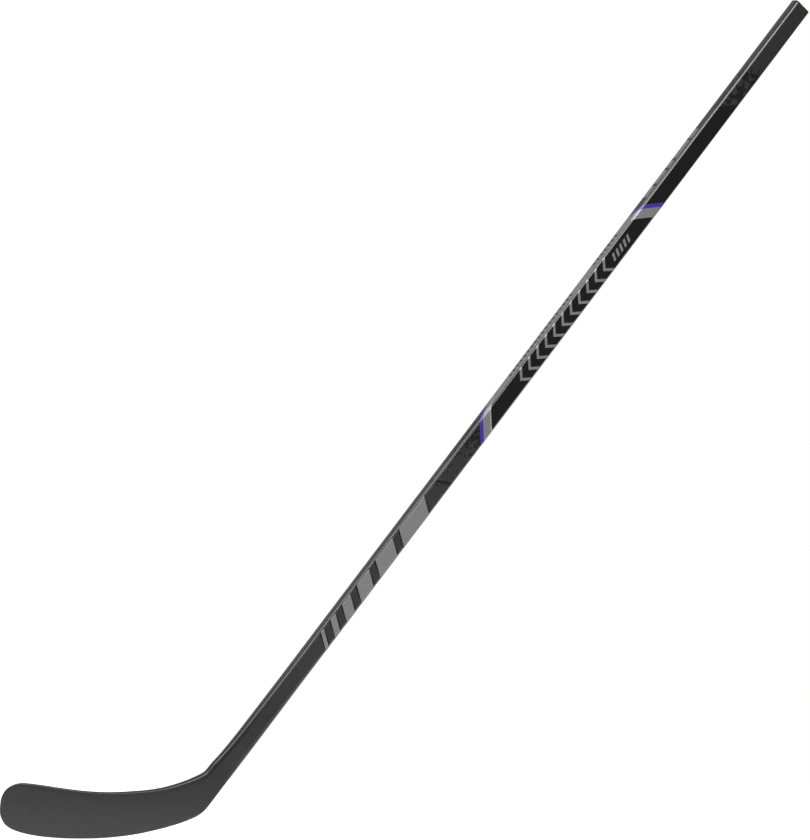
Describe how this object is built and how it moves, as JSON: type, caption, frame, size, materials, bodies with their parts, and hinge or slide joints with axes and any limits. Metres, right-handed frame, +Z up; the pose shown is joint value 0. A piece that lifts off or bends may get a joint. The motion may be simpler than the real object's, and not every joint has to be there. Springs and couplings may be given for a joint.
{
  "type": "ice hockey stick",
  "caption": "Left-hand ice hockey stick: hollow composite shaft with a push-in butt plug, tapered hosel and a curved foam-cored blade, with plain graphic bands.",
  "frame": {"origin": "the point on the ice where the shaft's centre line, carried on past the heel, meets it", "axes": "+X along the ice towards the butt, +Z up from the ice, +Y to the blade's forehand (concave) side; the shaft's centre line lies in the XZ plane, 49 degrees above the ice"},
  "size_m": [1.2995, 0.0475, 1.2009],
  "materials": {
    "shaft_laminate": "satin clear coat over carbon laminate",
    "plug_plastic": "moulded matt plastic",
    "bare_laminate": "bare moulded laminate",
    "blade_laminate": "matt speckled coating",
    "foam": "closed-cell foam",
    "black_film": "gloss",
    "silver_film": "metallic satin",
    "violet_film": "gloss",
    "dark_film": "satin"
  },
  "bodies": {
    "stick": {"shaft_tube": "shaft_laminate", "tenon": "bare_laminate", "hosel_shell": "blade_laminate", "hosel_core": "foam", "forehand_skin": "blade_laminate", "backhand_skin": "blade_laminate", "core_upper": "foam", "core_lower": "foam", "core_rib": "bare_laminate", "upper_panel_film": "black_film", "panel_film": "black_film", "side_film": "silver_film", "upper_band_violet": "violet_film", "upper_band_silver": "silver_film", "lower_band_violet": "violet_film", "lower_band_silver": "silver_film", "large_mark_outline": "black_film", "large_mark": "silver_film", "centre_mark": "silver_film", "small_mark": "silver_film", "side_marks": "dark_film", "upper_side_marks": "silver_film"},
    "butt_plug": {"butt_plug": "plug_plastic"}
  },
  "joints": [
    {"name": "butt_plug_pull", "type": "slide", "parent": "stick", "child": "butt_plug", "axis": [0.6561, 0, 0.7547], "range_m": [0, 0.045]}
  ]
}
